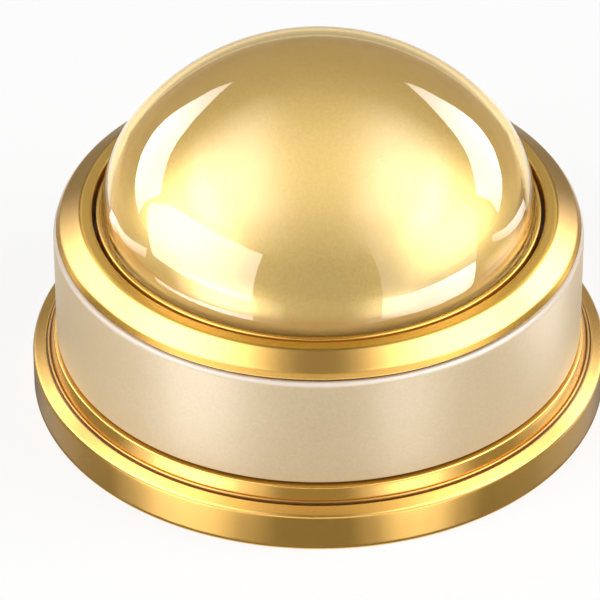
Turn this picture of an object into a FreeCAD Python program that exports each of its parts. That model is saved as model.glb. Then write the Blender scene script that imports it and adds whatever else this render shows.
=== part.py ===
import FreeCAD, Part
import math
import os

V = FreeCAD.Vector
up = V(0, 0, 1)
along_y = V(0, 1, 0)

# Clear lens of the dome
lens_radius = 37.4
lens_rise = 28.7
lens_crown_lift = 8.0
lens_wall = 1.5
lens_skirt = 1.95
lens_flange_width = 0.35
lens_flange_thickness = 1.25

# Gold inner dome and the screws that hold it
core_gap = 0.2
core_wall = 1.6
core_boss_radius = 3.0
core_boss_inset = 7.4
core_screw_count = 3
core_screw_radius = 1.25
core_screw_grip = 7.0
core_screw_head_radius = 2.4
core_screw_head_height = 1.5

# Gold ring round the foot of the lens
lens_ring_wall = 0.5
lens_ring_lip = 0.65
lens_ring_fit = 0.05
lens_ring_foot_gap = 0.3
lens_ring_sink = 0.1
lens_ring_round = 0.22

# Bezel
bezel_gap = 0.7
bezel_land = 2.1
bezel_slope_rise = 2.2
bezel_lip_height = 1.1
bezel_lip_taper = 0.8
bezel_setback = 0.35
bezel_spigot_depth = 2.8
bezel_spigot_clearance = 0.15
bezel_edge_round = 0.2

# Drum
drum_wall = 1.8
drum_top_round = 0.9
drum_foot_round = 0.4

# Gaskets, set back from the faces that they seal
lower_gasket_thickness = 0.5
upper_gasket_thickness = 0.6
gasket_setback = 0.75
gasket_land_margin = 0.15

# Base ring
base_bore_clearance = 0.05
collar_ledge = 0.55
collar_taper = 0.65
collar_height = 2.7
collar_edge_round = 0.3
bead_gap = 0.12
bead_width = 0.35
bead_height = 0.45
groove_width = 0.28
groove_depth = 0.4
slope_width = 2.3
slope_rise = 0.8
slope_edge_round = 0.12
base_wall_height = 6.9
base_edge_round = 0.4
base_foot_round = 0.25
foot_ring_width = 1.4
foot_ring_depth = 1.0
foot_ring_fit = 0.05

# Chassis floor and tie posts
floor_lift = 0.8
floor_thickness = 2.5
floor_overlap = 2.4
floor_clearance = 0.2
post_count = 4
post_radius = 2.6
post_lens_clearance = 0.3
post_drum_clearance = 0.15

# Tie screws
tie_screw_radius = 1.5
tie_screw_clearance = 0.1
tie_screw_head_radius = 2.75
tie_screw_head_height = 1.7
tie_screw_head_sink = 0.1
tie_screw_head_clearance = 0.2
tie_screw_engagement = 3.2
tie_screw_tip_gap = 0.8
thread_fit = 0.02

# Cross recess of the screw heads
recess_width = 0.8
recess_share = 0.6
recess_depth = 0.9

# Threaded inserts for panel screws
panel_pitch_radius = 30.0
insert_radius = 2.8
insert_bore_radius = 1.65
insert_length = 6.5
insert_groove_depth = 0.3
insert_groove_length = 1.2
insert_boss_wall = 1.4
insert_boss_roof = 1.2

# Wire grommet
grommet_inset = 20.4
grommet_bore_radius = 4.5
grommet_wall = 2.5
grommet_flange_width = 1.5
grommet_upper_flange = 1.5
grommet_lower_flange = 0.6
grommet_round = 0.25
grommet_fit = 0.02

# Plunger
travel = 4.0
ceiling_thickness = 2.0
riser_wall = 2.4
stop_flange_thickness = 2.0
stop_flange_clearance = 1.0
scallop_clearance = 0.5
plunger_rib_width = 1.6
plunger_rib_height = 3.0
plunger_rib_start = 2.5
stem_radius = 6.0
stem_bore_radius = 3.5
stem_floor_gap = 0.7
stem_round = 0.5

# Stops at both ends of the travel
return_pad_thickness = 1.0
return_pad_margin = 0.4
return_pad_angle = 60.0
return_gap = 0.1
stop_washer_thickness = 1.0
stop_washer_clearance = 0.5
stop_gap = 0.1

# Guide bush and its tube
stem_clearance = 0.06
bush_wall = 1.5
bush_fit = 0.02
bush_flange = 1.0
bush_floor_gap = 2.0
tube_wall = 1.9

# Return spring
spring_wire = 1.3
spring_tube_clearance = 0.7
spring_turns = 7
spring_end_gap = 0.05

# Microswitch body
switch_length = 27.8
switch_height = 15.9
switch_case_depth = 8.3
switch_cover_depth = 2.0
switch_wall = 1.5
switch_hole_inset = 2.8
switch_hole_radius = 1.55
switch_hole_wall = 0.85
switch_hole_height = 5.6
switch_lift = 2.9
switch_rest_width = 3.0
switch_rest_depth = 6.0

# Bracket of the switch
bracket_spring_gap = 0.5
bracket_wall = 1.5
bracket_wing = 3.2
bracket_headroom = 4.0
bracket_rib_depth = 8.0
bracket_rib_height = 9.0

# Lever of the switch
lever_width = 5.0
lever_thickness = 0.5
lever_rest_angle = 12.2
lever_reach = 20.4
lever_overhang = 3.0
lever_pin_radius = 0.7
lever_pin_height = 0.8
lever_pin_inset = 1.7
lever_pin_clearance = 0.06
ear_wall = 0.85
ear_side_gap = 0.15
ear_face_gap = 0.6
striker_radius = 2.0
striker_length = 1.85
contact_gap = 0.05

# Pin of the switch, under the lever
button_radius = 1.3
button_reach = 5.6
button_clearance = 0.06
button_collar = 0.45
button_collar_thickness = 0.9
button_collar_gap = 0.1
button_stroke_room = 1.2

# Contacts of the switch
terminal_width = 4.75
terminal_thickness = 0.6
terminal_side_gap = 0.125
terminal_reach = 7.0
terminal_case_gap = 0.1
terminal_wall_gap = 0.4
terminal_slot_clearance = 0.03
terminal_hole_radius = 0.8
terminal_hole_inset = 2.2
contact_shelf_width = 3.0
contact_arm_height = 2.4
blade_height = 7.2
blade_thickness = 0.3
blade_width = 3.0
blade_overhang = 1.2
blade_rest_angle = 1.4
blade_pivot_radius = 0.5
rivet_radius = 1.0
rivet_height = 0.4

# Bolts of the switch
switch_screw_radius = 1.45
switch_screw_head_radius = 2.75
switch_screw_head_height = 1.8
switch_nut_width = 5.5
switch_nut_height = 2.4

# Radii, from the lens outwards
lens_flange_radius = lens_radius + lens_flange_width
riser_radius = lens_flange_radius
riser_inner_radius = riser_radius - riser_wall
lens_ring_inner_radius = riser_radius + lens_ring_fit
lens_ring_radius = lens_ring_inner_radius + lens_ring_wall
bezel_bore_radius = lens_ring_radius + bezel_gap
post_place_radius = lens_ring_radius + post_lens_clearance + post_radius
drum_bore_radius = post_place_radius + post_radius + post_drum_clearance
drum_radius = drum_bore_radius + drum_wall
base_bore_radius = drum_bore_radius + base_bore_clearance
collar_top_radius = drum_radius + collar_ledge
collar_foot_radius = collar_top_radius + collar_taper
bead_inner_radius = collar_foot_radius + bead_gap
bead_outer_radius = bead_inner_radius + bead_width
slope_inner_radius = bead_outer_radius + groove_width
base_radius = slope_inner_radius + slope_width
floor_radius = base_bore_radius + floor_overlap
recess_radius = floor_radius + floor_clearance
grommet_offset = floor_radius - grommet_inset
bezel_lip_radius = drum_radius - bezel_setback
bezel_lip_top_radius = bezel_lip_radius - bezel_lip_taper
bezel_land_radius = bezel_bore_radius + bezel_land
bezel_spigot_radius = drum_bore_radius - bezel_spigot_clearance
stop_flange_radius = drum_bore_radius - stop_flange_clearance
core_inset = lens_wall + core_gap
core_boss_place_radius = lens_radius - core_inset - core_wall - core_boss_inset
bush_bore_radius = stem_radius + stem_clearance
bush_radius = bush_bore_radius + bush_wall
tube_bore_radius = bush_radius + bush_fit
tube_radius = tube_bore_radius + tube_wall
spring_radius = tube_radius + spring_tube_clearance + spring_wire / 2
grommet_hole_radius = grommet_bore_radius + grommet_wall
insert_boss_radius = insert_radius + insert_boss_wall
foot_ring_mid = (recess_radius + base_radius) / 2

# Profile of the dome: a shoulder arc that meets a flatter crown arc
shoulder_radius = lens_rise - lens_crown_lift
shoulder_centre = lens_radius - shoulder_radius
crown_radius = (shoulder_centre**2 + lens_rise**2 - shoulder_radius**2) / (2 * lens_crown_lift)
crown_drop = crown_radius - lens_rise

# Plan of the switch: x along its length, y outwards from the stem
bracket_y = spring_radius + spring_wire / 2 + bracket_spring_gap
switch_y = bracket_y + bracket_wall
switch_cover_y = switch_y + switch_case_depth
switch_face_y = switch_cover_y + switch_cover_depth
switch_mid_y = (switch_y + switch_face_y) / 2
switch_end_x = switch_length / 2
switch_hole_spacing = switch_length - 2 * switch_hole_inset
switch_hole_xs = (-switch_hole_spacing / 2, switch_hole_spacing / 2)
cavity_end_x = switch_hole_spacing / 2 - switch_hole_radius - switch_hole_wall
terminal_pitch = cavity_end_x - terminal_side_gap - terminal_width / 2
lever_pin_x = lever_pin_inset - switch_end_x
striker_x = lever_pin_x + lever_reach
button_x = lever_pin_x + button_reach
terminal_y = switch_y + switch_wall + terminal_wall_gap

# Heights, from the floor of the chassis upwards
floor_top_z = floor_lift + floor_thickness
switch_bottom_z = floor_top_z + switch_lift
switch_top_z = switch_bottom_z + switch_height
switch_hole_z = switch_bottom_z + switch_hole_height
lever_pin_z = switch_top_z + lever_pin_height
lever_rise = lever_reach * math.sin(math.radians(lever_rest_angle))
striker_offset = striker_radius + lever_thickness / 2 + contact_gap
striker_tip_z = lever_pin_z + (striker_offset + lever_rise) / math.cos(math.radians(lever_rest_angle))
button_rise = button_reach * math.sin(math.radians(lever_rest_angle))
button_offset = button_radius + lever_thickness / 2 + contact_gap
button_tip_z = lever_pin_z + (button_rise - button_offset) / math.cos(math.radians(lever_rest_angle))
ceiling_z = striker_tip_z + striker_length
lens_foot_z = ceiling_z + ceiling_thickness
lens_flange_top_z = lens_foot_z + lens_flange_thickness
lens_centre_z = lens_foot_z + lens_skirt
lens_ring_top_z = lens_flange_top_z + lens_ring_lip
bezel_land_z = lens_ring_top_z + lens_ring_sink
bezel_lip_top_z = bezel_land_z - bezel_slope_rise
bezel_foot_z = bezel_lip_top_z - bezel_lip_height
bezel_spigot_z = bezel_foot_z - bezel_spigot_depth
drum_top_z = bezel_foot_z - upper_gasket_thickness
slope_top_z = base_wall_height + slope_rise
collar_top_z = slope_top_z + collar_height
drum_foot_z = collar_top_z + lower_gasket_thickness
stop_flange_top_z = bezel_spigot_z - return_gap - return_pad_thickness
stop_flange_z = stop_flange_top_z - stop_flange_thickness
stop_washer_z = ceiling_z - travel - stop_gap - stop_washer_thickness
tube_top_z = stop_washer_z - bush_flange
stem_foot_z = floor_top_z + travel + stem_floor_gap
tie_seat_z = floor_lift + tie_screw_head_sink + tie_screw_head_height
tie_tip_z = bezel_spigot_z + tie_screw_engagement
blade_z = switch_bottom_z + blade_height
blade_lift = 2 * terminal_pitch * math.sin(math.radians(blade_rest_angle))
contact_reach_z = blade_lift + blade_thickness / 2 + rivet_height + contact_gap
terminal_tab_z = switch_bottom_z - terminal_case_gap - terminal_thickness


def polar(radius, angle, z=0.0):
    turn = math.radians(angle)
    return V(radius * math.cos(turn), radius * math.sin(turn), z)


def outline(corners):
    """Closed wire in the XZ plane through (radius, height, rounding) corners."""
    starts, ends, middles = [], [], []
    count = len(corners)
    for i in range(count):
        here = V(corners[i][0], 0, corners[i][1])
        rounding = corners[i][2] if len(corners[i]) > 2 else 0.0
        before = V(corners[i - 1][0], 0, corners[i - 1][1])
        after = V(corners[(i + 1) % count][0], 0, corners[(i + 1) % count][1])
        back = (before - here).normalize()
        ahead = (after - here).normalize()
        half = back.getAngle(ahead) / 2
        if rounding == 0.0:
            starts.append(here)
            ends.append(here)
            middles.append(None)
            continue
        run = rounding / math.tan(half)
        inwards = (back + ahead).normalize()
        starts.append(here + back * run)
        ends.append(here + ahead * run)
        middles.append(here + inwards * (rounding / math.sin(half) - rounding))
    edges = []
    for i in range(count):
        if middles[i]:
            edges.append(Part.Arc(starts[i], middles[i], ends[i]).toShape())
        edges.append(Part.LineSegment(ends[i], starts[(i + 1) % count]).toShape())
    return Part.Wire(edges)


def turned(corners, angle=360):
    return Part.Face(outline(corners)).revolve(V(), up, angle)


def ring(outer, inner, low, high):
    return turned([(inner, low), (outer, low), (outer, high), (inner, high)])


def block(x0, x1, y0, y1, z0, z1):
    return Part.makeBox(x1 - x0, y1 - y0, z1 - z0, V(x0, y0, z0))


def rod(radius, low, high, x=0.0, y=0.0):
    return Part.makeCylinder(radius, high - low, V(x, y, low))


def rod_y(radius, y0, y1, x, z):
    return Part.makeCylinder(radius, y1 - y0, V(x, y0, z), along_y)


def moved(shape, place):
    copy = shape.copy()
    copy.translate(place)
    return copy


def spun(shape, angle):
    copy = shape.copy()
    copy.rotate(V(), up, angle)
    return copy


def joined(first, others):
    return first.multiFuse(others).removeSplitter()


def even_angles(count, first):
    return [first + 360.0 * i / count for i in range(count)]


post_angles = even_angles(post_count, 45.0)
core_screw_angles = even_angles(core_screw_count, 90.0)
plunger_rib_angles = [0.0, 180.0, 225.0, 315.0]


def dome_edges(inset):
    """Shoulder and crown arcs, set in evenly from the outer face of the lens."""
    meeting = math.atan2(crown_drop, shoulder_centre)
    shoulder = V(shoulder_centre, 0, lens_centre_z)
    crown = V(0, 0, lens_centre_z - crown_drop)

    def shoulder_point(angle):
        return shoulder + V(math.cos(angle), 0, math.sin(angle)) * (shoulder_radius - inset)

    def crown_point(angle):
        return crown + V(math.cos(angle), 0, math.sin(angle)) * (crown_radius - inset)

    top = math.pi / 2
    lower = Part.Arc(shoulder_point(0), shoulder_point(meeting / 2), shoulder_point(meeting))
    upper = Part.Arc(shoulder_point(meeting), crown_point((meeting + top) / 2), crown_point(top))
    return [lower.toShape(), upper.toShape()]


def straight_edges(points):
    ends = [V(radius, 0, height) for radius, height in points]
    return [Part.LineSegment(start, end).toShape() for start, end in zip(ends, ends[1:])]


def turned_edges(edges):
    wire = Part.Wire(Part.__sortEdges__(edges))
    return Part.Face(wire).revolve(V(), up, 360)


def dome_filling(inset):
    """Solid dome with its straight foot, down to the plunger."""
    radius = lens_radius - inset
    top_z = lens_centre_z + lens_rise - inset
    foot = [(0, top_z), (0, lens_foot_z), (radius, lens_foot_z), (radius, lens_centre_z)]
    return turned_edges(dome_edges(inset) + straight_edges(foot))


def cross_recess(seat_radius):
    """Cutter for a cross slot that opens downwards at z = 0."""
    arm = seat_radius * recess_share
    half = recess_width / 2
    first = block(-arm, arm, -half, half, 0, recess_depth)
    second = block(-half, half, -arm, arm, 0, recess_depth)
    return first.fuse(second)


def screw(radius, length, head_radius, head_height):
    """Pan-head screw with its head's lower face at z = 0 and its tip up."""
    rounding = head_height / 3
    head = turned([(0, 0), (head_radius, 0, rounding), (head_radius, head_height), (0, head_height)])
    shank = rod(radius, head_height, head_height + length)
    return head.fuse(shank).removeSplitter().cut(cross_recess(head_radius))


def make_base_ring():
    ring_body = turned([
        (recess_radius, 0),
        (base_radius, 0, base_foot_round),
        (base_radius, base_wall_height, base_edge_round),
        (slope_inner_radius, slope_top_z, slope_edge_round),
        (slope_inner_radius, slope_top_z - groove_depth),
        (bead_outer_radius, slope_top_z - groove_depth),
        (bead_outer_radius, slope_top_z + bead_height, bead_width / 3),
        (bead_inner_radius, slope_top_z + bead_height, bead_width / 3),
        (bead_inner_radius, slope_top_z),
        (collar_foot_radius, slope_top_z),
        (collar_top_radius, collar_top_z, collar_edge_round),
        (base_bore_radius, collar_top_z),
        (base_bore_radius, floor_top_z),
        (recess_radius, floor_top_z),
    ])
    half = foot_ring_width / 2 + foot_ring_fit
    return ring_body.cut(ring(foot_ring_mid + half, foot_ring_mid - half, 0, foot_ring_depth + foot_ring_fit))


def make_foot_ring():
    half = foot_ring_width / 2
    return ring(foot_ring_mid + half, foot_ring_mid - half, 0, foot_ring_depth)


def make_lower_gasket():
    return ring(drum_radius - gasket_setback, base_bore_radius, collar_top_z, drum_foot_z)


def make_drum_shell():
    return turned([
        (drum_bore_radius, drum_foot_z),
        (drum_radius, drum_foot_z, drum_foot_round),
        (drum_radius, drum_top_z, drum_top_round),
        (drum_bore_radius, drum_top_z),
    ])


def make_upper_gasket():
    outer = drum_radius - drum_top_round - gasket_land_margin
    return ring(outer, drum_bore_radius, drum_top_z, bezel_foot_z)


def make_bezel_ring():
    body = turned([
        (bezel_bore_radius, bezel_spigot_z),
        (bezel_spigot_radius, bezel_spigot_z),
        (bezel_spigot_radius, bezel_foot_z),
        (bezel_lip_radius, bezel_foot_z, bezel_edge_round),
        (bezel_lip_top_radius, bezel_lip_top_z, bezel_edge_round),
        (bezel_land_radius, bezel_land_z, bezel_edge_round),
        (bezel_bore_radius, bezel_land_z, bezel_edge_round),
    ])
    hole = rod(tie_screw_radius + thread_fit, bezel_spigot_z, tie_tip_z + tie_screw_tip_gap)
    return body.cut([moved(hole, polar(post_place_radius, angle)) for angle in post_angles])


def make_dome_lens():
    inner_radius = lens_radius - lens_wall
    top_z = lens_centre_z + lens_rise
    top = [(0, top_z), (0, top_z - lens_wall)]
    foot = [
        (inner_radius, lens_centre_z),
        (inner_radius, lens_foot_z),
        (lens_flange_radius, lens_foot_z),
        (lens_flange_radius, lens_flange_top_z),
        (lens_radius, lens_flange_top_z),
        (lens_radius, lens_centre_z),
    ]
    return turned_edges(dome_edges(0) + dome_edges(lens_wall) + straight_edges(top) + straight_edges(foot))


def make_dome_core():
    inside = dome_filling(core_inset + core_wall)
    shell = dome_filling(core_inset).cut(inside)
    boss = rod(core_boss_radius, lens_foot_z, lens_centre_z + lens_rise)
    hole = rod(core_screw_radius + thread_fit, lens_foot_z, lens_foot_z + core_screw_grip)
    places = [polar(core_boss_place_radius, angle) for angle in core_screw_angles]
    bosses = [moved(boss, place).common(inside) for place in places]
    return joined(shell, bosses).cut([moved(hole, place) for place in places])


def make_core_screws():
    low = ceiling_z - core_screw_head_height
    length = ceiling_thickness + core_screw_grip - recess_depth
    one = screw(core_screw_radius, length, core_screw_head_radius, core_screw_head_height)
    places = [polar(core_boss_place_radius, angle, low) for angle in core_screw_angles]
    return Part.Compound([moved(one, place) for place in places])


def make_lens_ring():
    lip_radius = lens_radius + lens_ring_fit
    step_z = lens_flange_top_z + lens_ring_fit
    low = stop_flange_top_z + lens_ring_foot_gap
    return turned([
        (lens_ring_inner_radius, low),
        (lens_ring_radius, low),
        (lens_ring_radius, lens_ring_top_z, lens_ring_round),
        (lip_radius, lens_ring_top_z, lens_ring_round),
        (lip_radius, step_z),
        (lens_ring_inner_radius, step_z),
    ])


def make_plunger():
    body = turned([
        (stem_bore_radius, stem_foot_z),
        (stem_radius, stem_foot_z, stem_round),
        (stem_radius, ceiling_z),
        (riser_inner_radius, ceiling_z),
        (riser_inner_radius, stop_flange_z),
        (stop_flange_radius, stop_flange_z),
        (stop_flange_radius, stop_flange_top_z),
        (riser_radius, stop_flange_top_z),
        (riser_radius, lens_foot_z),
        (0, lens_foot_z),
        (0, ceiling_z),
        (stem_bore_radius, ceiling_z),
    ])
    rib_start = spring_radius + spring_wire / 2 + plunger_rib_start
    half = plunger_rib_width / 2
    rib_low = ceiling_z - plunger_rib_height
    rib = block(rib_start, (riser_inner_radius + riser_radius) / 2, -half, half, rib_low, ceiling_z)
    striker = rod(striker_radius, striker_tip_z, lens_foot_z, striker_x, switch_mid_y)
    tip = Part.makeSphere(striker_radius, V(striker_x, switch_mid_y, striker_tip_z))
    body = joined(body, [spun(rib, angle) for angle in plunger_rib_angles] + [striker, tip])
    scallop = rod(post_radius + scallop_clearance, stop_flange_z, stop_flange_top_z)
    hole = rod(core_screw_radius + tie_screw_clearance, ceiling_z, lens_foot_z)
    cuts = [moved(scallop, polar(post_place_radius, angle)) for angle in post_angles]
    cuts += [moved(hole, polar(core_boss_place_radius, angle)) for angle in core_screw_angles]
    return body.cut(cuts)


def make_return_pads():
    inner = bezel_bore_radius + return_pad_margin
    outer = stop_flange_radius - return_pad_margin
    high = stop_flange_top_z + return_pad_thickness
    corners = [(inner, stop_flange_top_z), (outer, stop_flange_top_z), (outer, high), (inner, high)]
    pad = turned(corners, return_pad_angle)
    half_step = 180.0 / post_count
    return Part.Compound([spun(pad, angle + half_step - return_pad_angle / 2) for angle in post_angles])


def make_chassis():
    floor = turned([
        (0, floor_lift),
        (floor_radius, floor_lift, floor_clearance),
        (floor_radius, floor_top_z),
        (tube_radius, floor_top_z),
        (tube_radius, tube_top_z),
        (tube_bore_radius, tube_top_z),
        (tube_bore_radius, floor_top_z),
        (0, floor_top_z),
    ])
    boss_top = floor_lift + insert_length + insert_boss_roof
    boss = rod(insert_boss_radius, floor_top_z, boss_top)
    body = joined(floor, [moved(boss, polar(panel_pitch_radius, angle)) for angle in post_angles])
    tie_hole = rod(tie_screw_radius + tie_screw_clearance, floor_lift, floor_top_z)
    head_hole = rod(tie_screw_head_radius + tie_screw_head_clearance, floor_lift, tie_seat_z)
    insert_hole = rod(insert_radius + thread_fit, floor_lift, floor_lift + insert_length)
    cuts = [moved(tie_hole.fuse(head_hole), polar(post_place_radius, angle)) for angle in post_angles]
    cuts += [moved(insert_hole, polar(panel_pitch_radius, angle)) for angle in post_angles]
    cuts.append(rod(grommet_hole_radius, floor_lift, floor_top_z, 0, -grommet_offset))
    return body.cut(cuts)


def make_tie_posts():
    one = ring(post_radius, tie_screw_radius + tie_screw_clearance, floor_top_z, bezel_spigot_z)
    return Part.Compound([moved(one, polar(post_place_radius, angle)) for angle in post_angles])


def make_switch_bracket():
    wall_top = switch_top_z - bracket_headroom
    wall_end_x = switch_end_x + bracket_wing
    wall = block(-wall_end_x, wall_end_x, bracket_y, switch_y, floor_top_z, wall_top)
    rib_top = V(0, bracket_y, floor_top_z + bracket_rib_height)
    rib_corners = [V(0, bracket_y - bracket_rib_depth, floor_top_z), V(0, bracket_y, floor_top_z), rib_top]
    triangle = Part.Face(Part.makePolygon(rib_corners + rib_corners[:1]))
    grown = []
    for x in (-wall_end_x, wall_end_x - bracket_wall):
        grown.append(moved(triangle.extrude(V(bracket_wall, 0, 0)), V(x, 0, 0)))
    for x in (-switch_end_x, switch_end_x - switch_rest_width):
        far = x + switch_rest_width
        grown.append(block(x, far, switch_y, switch_y + switch_rest_depth, floor_top_z, switch_bottom_z))
    cuts = [rod_y(switch_hole_radius, bracket_y, switch_y, x, switch_hole_z) for x in switch_hole_xs]
    return joined(wall, grown).cut(cuts)


def make_tie_screws():
    low = floor_lift + tie_screw_head_sink
    length = tie_tip_z - tie_seat_z
    one = screw(tie_screw_radius, length, tie_screw_head_radius, tie_screw_head_height)
    return Part.Compound([moved(one, polar(post_place_radius, angle, low)) for angle in post_angles])


def make_panel_inserts():
    groove_low = floor_lift + (insert_length - insert_groove_length) / 2
    groove_high = groove_low + insert_groove_length
    groove_radius = insert_radius - insert_groove_depth
    high = floor_lift + insert_length
    one = turned([
        (insert_bore_radius, floor_lift),
        (insert_radius, floor_lift),
        (insert_radius, groove_low),
        (groove_radius, groove_low),
        (groove_radius, groove_high),
        (insert_radius, groove_high),
        (insert_radius, high),
        (insert_bore_radius, high),
    ])
    return Part.Compound([moved(one, polar(panel_pitch_radius, angle)) for angle in post_angles])


def make_wire_grommet():
    neck = grommet_hole_radius - grommet_fit
    flange = grommet_hole_radius + grommet_flange_width
    low = floor_lift - grommet_lower_flange
    high = floor_top_z + grommet_upper_flange
    body = turned([
        (grommet_bore_radius, low),
        (flange, low, grommet_round),
        (flange, floor_lift),
        (neck, floor_lift),
        (neck, floor_top_z),
        (flange, floor_top_z),
        (flange, high, grommet_round),
        (grommet_bore_radius, high),
    ])
    return moved(body, V(0, -grommet_offset, 0))


def make_guide_bush():
    return turned([
        (bush_bore_radius, floor_top_z + bush_floor_gap),
        (bush_radius, floor_top_z + bush_floor_gap),
        (bush_radius, tube_top_z),
        (tube_radius, tube_top_z),
        (tube_radius, stop_washer_z),
        (bush_bore_radius, stop_washer_z),
    ])


def make_stop_washer():
    inner = stem_radius + stop_washer_clearance
    return ring(tube_radius, inner, stop_washer_z, stop_washer_z + stop_washer_thickness)


def make_return_spring():
    """Coil with ground ends: the helix runs past both seats and is cut flat there."""
    high = ceiling_z - spring_end_gap
    length = high - floor_top_z
    pitch = length / spring_turns
    path = Part.makeHelix(pitch, length, spring_radius)
    start = V(spring_radius, 0, 0)
    slope = V(0, 2 * math.pi * spring_radius, pitch)
    section = Part.Wire(Part.Circle(start, slope, spring_wire / 2).toShape())
    coil = Part.Wire(path.Edges).makePipeShell([section], True, True)
    reach = spring_radius + spring_wire
    return moved(coil, V(0, 0, floor_top_z)).common(rod(reach, floor_top_z, high))


def lever_ear(y0, y1):
    radius = lever_pin_radius + lever_pin_clearance + ear_wall
    eye = rod_y(radius, y0, y1, lever_pin_x, lever_pin_z)
    neck = block(lever_pin_x - radius, lever_pin_x + radius, y0, y1, switch_top_z, lever_pin_z)
    return eye.fuse(neck)


def lever_pin_hole():
    return rod_y(lever_pin_radius + lever_pin_clearance, switch_y, switch_face_y, lever_pin_x, lever_pin_z)


def switch_bolt_holes():
    hole = rod_y(switch_hole_radius, switch_y, switch_face_y, 0, switch_hole_z)
    return [moved(hole, V(x, 0, 0)) for x in switch_hole_xs]


def make_switch_case():
    body = block(-switch_end_x, switch_end_x, switch_y, switch_cover_y, switch_bottom_z, switch_top_z)
    ear = lever_ear(switch_y + ear_face_gap, switch_mid_y - lever_width / 2 - ear_side_gap)
    floor_z = switch_bottom_z + switch_wall
    roof_z = switch_top_z - switch_wall
    cavity = block(-cavity_end_x, cavity_end_x, switch_y + switch_wall, switch_cover_y, floor_z, roof_z)
    button_hole = rod(button_radius + button_clearance, roof_z, switch_top_z, button_x, switch_mid_y)
    gap = terminal_slot_clearance
    slot_y = terminal_y - gap
    slot_end_y = terminal_y + terminal_thickness + gap
    cuts = [cavity, button_hole, lever_pin_hole()] + switch_bolt_holes()
    for x in (-terminal_pitch, 0, terminal_pitch):
        half = terminal_width / 2 + gap
        cuts.append(block(x - half, x + half, slot_y, slot_end_y, switch_bottom_z, floor_z))
    return joined(body, [ear]).cut(cuts)


def make_switch_cover():
    body = block(-switch_end_x, switch_end_x, switch_cover_y, switch_face_y, switch_bottom_z, switch_top_z)
    ear = lever_ear(switch_cover_y, switch_face_y - ear_face_gap)
    return joined(body, [ear]).cut(switch_bolt_holes() + [lever_pin_hole()])


def make_switch_lever():
    half_width = lever_width / 2
    half = lever_thickness / 2
    leaf = block(0, lever_reach + lever_overhang, -half_width, half_width, -half, half)
    pin_start = switch_y + 2 * ear_face_gap - switch_mid_y
    pin = rod_y(lever_pin_radius, pin_start, -pin_start, 0, 0)
    lever = joined(leaf, [pin])
    lever.rotate(V(), along_y, -lever_rest_angle)
    return moved(lever, V(lever_pin_x, switch_mid_y, lever_pin_z))


def make_switch_button():
    low = blade_z + blade_pivot_radius + button_stroke_room
    collar_top = switch_top_z - switch_wall - button_collar_gap
    shank = rod(button_radius, low, button_tip_z)
    collar = rod(button_radius + button_collar, collar_top - button_collar_thickness, collar_top)
    tip = Part.makeSphere(button_radius, V(0, 0, button_tip_z))
    return moved(joined(shank, [collar, tip]), V(button_x, switch_mid_y, 0))


def make_switch_blade():
    half_width = blade_width / 2
    half = blade_thickness / 2
    reach = 2 * terminal_pitch
    leaf = block(0, reach + blade_overhang, -half_width, half_width, -half, half)
    pivot = rod_y(blade_pivot_radius, -half_width, half_width, 0, 0)
    rivet = rod(rivet_radius, -half - rivet_height, half + rivet_height, reach)
    blade = joined(leaf, [pivot, rivet])
    blade.rotate(V(), along_y, -blade_rest_angle)
    return moved(blade, V(-terminal_pitch, switch_mid_y, blade_z))


def terminal(x, strip_top, shelf_x, shelf_z):
    """Flat strip bent outwards under the case, with a shelf inside that carries a contact."""
    half = terminal_width / 2
    far_y = terminal_y + terminal_thickness
    end_y = switch_face_y + terminal_reach
    tab_top = terminal_tab_z + terminal_thickness
    strip = block(x - half, x + half, terminal_y, far_y, terminal_tab_z, strip_top)
    tab = block(x - half, x + half, terminal_y, end_y, terminal_tab_z, tab_top)
    reach_y = switch_mid_y + blade_width / 2
    half_shelf = contact_shelf_width / 2
    shelf_top = shelf_z + terminal_thickness
    shelf = block(shelf_x - half_shelf, shelf_x + half_shelf, terminal_y, reach_y, shelf_z, shelf_top)
    hole = rod(terminal_hole_radius, terminal_tab_z, tab_top, x, end_y - terminal_hole_inset)
    return joined(strip, [tab, shelf]).cut(hole)


def make_common_terminal():
    shelf_z = blade_z - blade_pivot_radius - contact_gap - terminal_thickness
    return terminal(-terminal_pitch, shelf_z + terminal_thickness, -terminal_pitch, shelf_z)


def make_normally_open_terminal():
    shelf_z = blade_z - contact_reach_z - terminal_thickness
    return terminal(terminal_pitch, shelf_z + terminal_thickness, terminal_pitch, shelf_z)


def make_normally_closed_terminal():
    shelf_z = blade_z + contact_reach_z
    arm_top = shelf_z + contact_arm_height
    end_x = terminal_pitch + contact_shelf_width / 2
    arm = block(0, end_x, terminal_y, terminal_y + terminal_thickness, shelf_z, arm_top)
    return joined(terminal(0, arm_top, terminal_pitch, shelf_z), [arm])


def make_switch_screws():
    tip_y = bracket_y - switch_nut_height
    length = switch_face_y - tip_y
    one = screw(switch_screw_radius, length, switch_screw_head_radius, switch_screw_head_height)
    one.rotate(V(), V(1, 0, 0), 90)
    head_y = switch_face_y + switch_screw_head_height
    return Part.Compound([moved(one, V(x, head_y, switch_hole_z)) for x in switch_hole_xs])


def make_switch_nuts():
    corner_radius = switch_nut_width / math.sqrt(3)
    corners = [polar(corner_radius, angle) for angle in even_angles(6, 0.0)]
    hexagon = Part.Face(Part.makePolygon(corners + corners[:1])).extrude(V(0, 0, switch_nut_height))
    one = hexagon.cut(rod(switch_screw_radius + thread_fit, 0, switch_nut_height))
    one.rotate(V(), V(1, 0, 0), 90)
    return Part.Compound([moved(one, V(x, bracket_y, switch_hole_z)) for x in switch_hole_xs])


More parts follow.
